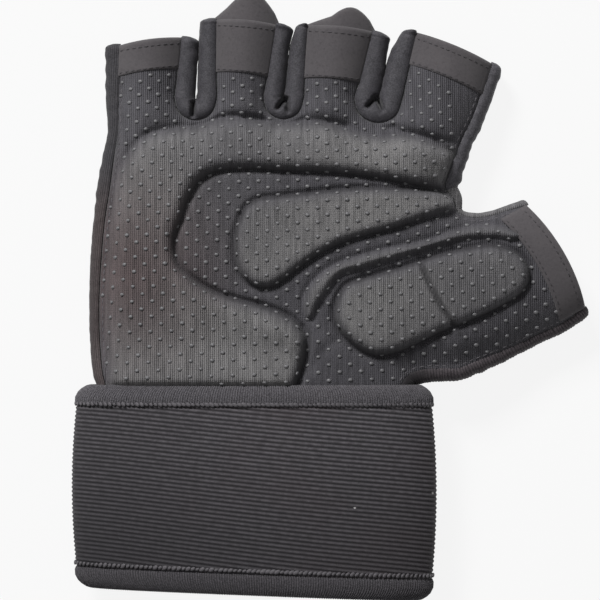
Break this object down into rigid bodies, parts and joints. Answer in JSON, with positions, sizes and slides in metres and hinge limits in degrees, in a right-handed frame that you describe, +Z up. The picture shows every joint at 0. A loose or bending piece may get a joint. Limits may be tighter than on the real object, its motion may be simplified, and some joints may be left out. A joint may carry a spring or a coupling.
{
  "type": "weightlifting glove",
  "caption": "Right-hand half-finger weightlifting glove with padded palm, open finger ends and a wide wrapped elastic wrist strap, lying palm up.",
  "frame": {"origin": "centre of the wrist wrap's flat underside, on the surface the glove lies on", "axes": "+X towards the thumb side, +Y towards the finger ends, +Z up out of the palm"},
  "size_m": [0.156, 0.1813, 0.0246],
  "materials": {
    "knit": "fine ribbed charcoal knit with small silicone dots",
    "pad_cloth": "fine ribbed charcoal knit over foam",
    "stretch_cloth": "smooth dark stretch cloth with a slight sheen",
    "suede": "matt brown-black microfibre",
    "elastic": "dark elastic webbing with fine cross ribs",
    "tape": "folded knit binding tape",
    "hook_tape": "black hook tape"
  },
  "bodies": {
    "root": {"palm_panel": "knit", "back_panel": "stretch_cloth", "side_pinky": "stretch_cloth", "side_index": "stretch_cloth", "side_thumb": "stretch_cloth", "fourchette_pinky_ring": "stretch_cloth", "fourchette_ring_middle": "stretch_cloth", "fourchette_middle_index": "stretch_cloth", "finger_band_pinky": "suede", "finger_band_ring": "suede", "finger_band_middle": "suede", "finger_band_index": "suede", "thumb_band": "suede", "pull_tab_ring": "suede", "pull_tab_middle": "suede", "pad_outer": "pad_cloth", "pad_middle": "pad_cloth", "pad_thumb_base": "pad_cloth", "pad_thumb_end": "pad_cloth", "wrist_wrap": "elastic", "wrap_binding_upper": "tape", "wrap_binding_lower": "tape", "closure_tab": "hook_tape"}
  },
  "joints": []
}
